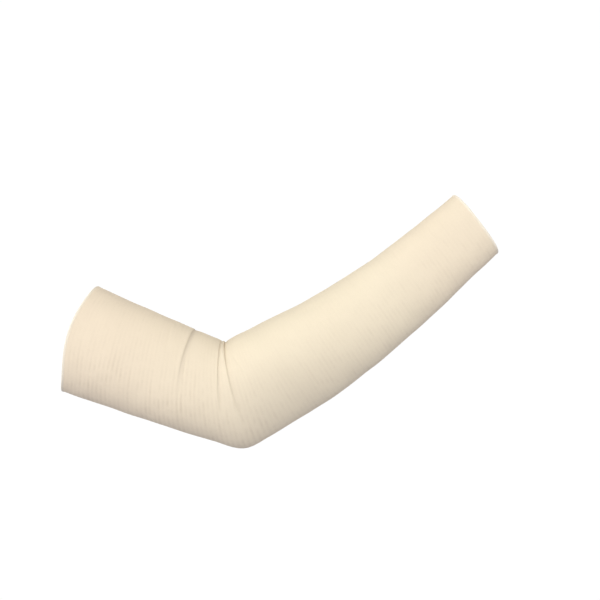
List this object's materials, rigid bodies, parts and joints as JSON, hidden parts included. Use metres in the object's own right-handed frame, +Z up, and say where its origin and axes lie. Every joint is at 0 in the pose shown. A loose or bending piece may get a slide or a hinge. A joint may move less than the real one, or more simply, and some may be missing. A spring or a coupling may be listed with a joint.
{
  "type": "arm sleeve",
  "caption": "Seamless elastic knit arm sleeve, a hollow tapered tube bent at the elbow and creased at the crook, worn from the upper arm to the wrist for support.",
  "frame": {"origin": "middle of the elbow inside the sleeve, where the bent arm sits", "axes": "+X from the upper arm's end to the wrist's end, +Z up towards the open side of the bend, so the arm lies in the XZ plane and -Y is the face seen from the side"},
  "size_m": [0.3473, 0.0824, 0.2018],
  "materials": {
    "knit": "matte cream elastic knit with fine ribs round the arm"
  },
  "bodies": {
    "root": {"knit_sleeve": "knit"}
  },
  "joints": []
}
